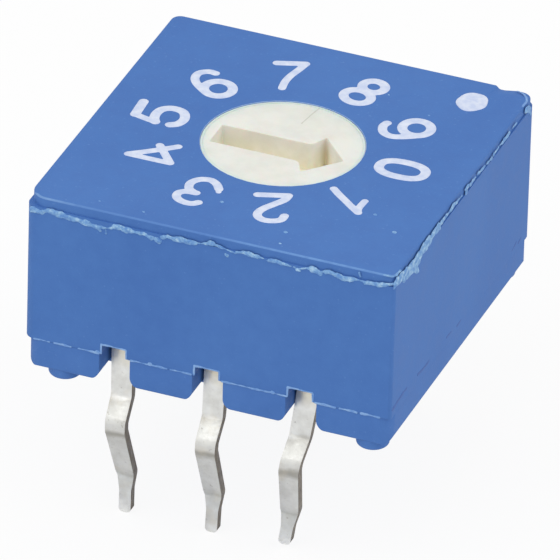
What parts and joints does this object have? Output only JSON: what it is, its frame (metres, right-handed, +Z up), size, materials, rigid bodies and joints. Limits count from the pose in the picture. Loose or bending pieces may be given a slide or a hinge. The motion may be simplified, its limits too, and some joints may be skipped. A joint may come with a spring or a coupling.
{
  "type": "binary coded rotary switch",
  "caption": "Square through-hole rotary code switch with an arrow-slotted rotor, sealed cover, detents and two rows of kinked terminals.",
  "frame": {"origin": "middle of the terminal pattern on the board surface that the feet stand on, on the rotor's axis", "axes": "+Z up out of the board along the rotor's axis, +X towards the dial's zero, along the rows of terminals"},
  "size_m": [0.01, 0.01, 0.0095],
  "materials": {
    "blue_housing": "fine satin moulded plastic",
    "cream_rotor": "moulded plastic with a slight sheen",
    "tinned_terminal": "dull tin plating",
    "gold_contact": "gold-plated bronze",
    "spring_steel": "bright stainless strip",
    "seal_rubber": "smooth silicone rubber"
  },
  "bodies": {
    "housing": {"cover": "blue_housing", "base": "blue_housing", "detent_spring_left": "spring_steel", "detent_spring_right": "spring_steel", "contact_1": "tinned_terminal", "contact_2": "tinned_terminal", "contact_4": "tinned_terminal", "contact_8": "tinned_terminal", "contact_common": "tinned_terminal"},
    "rotor": {"rotor": "cream_rotor", "seal_ring": "seal_rubber", "code_disc": "gold_contact"}
  },
  "joints": [
    {"name": "rotor_turn", "type": "hinge", "parent": "housing", "child": "rotor", "pos_m": [0, 0, 0.004], "axis": [0, 0, 1], "continuous": true, "deforming": ["detent_spring_left", "detent_spring_right"]}
  ]
}
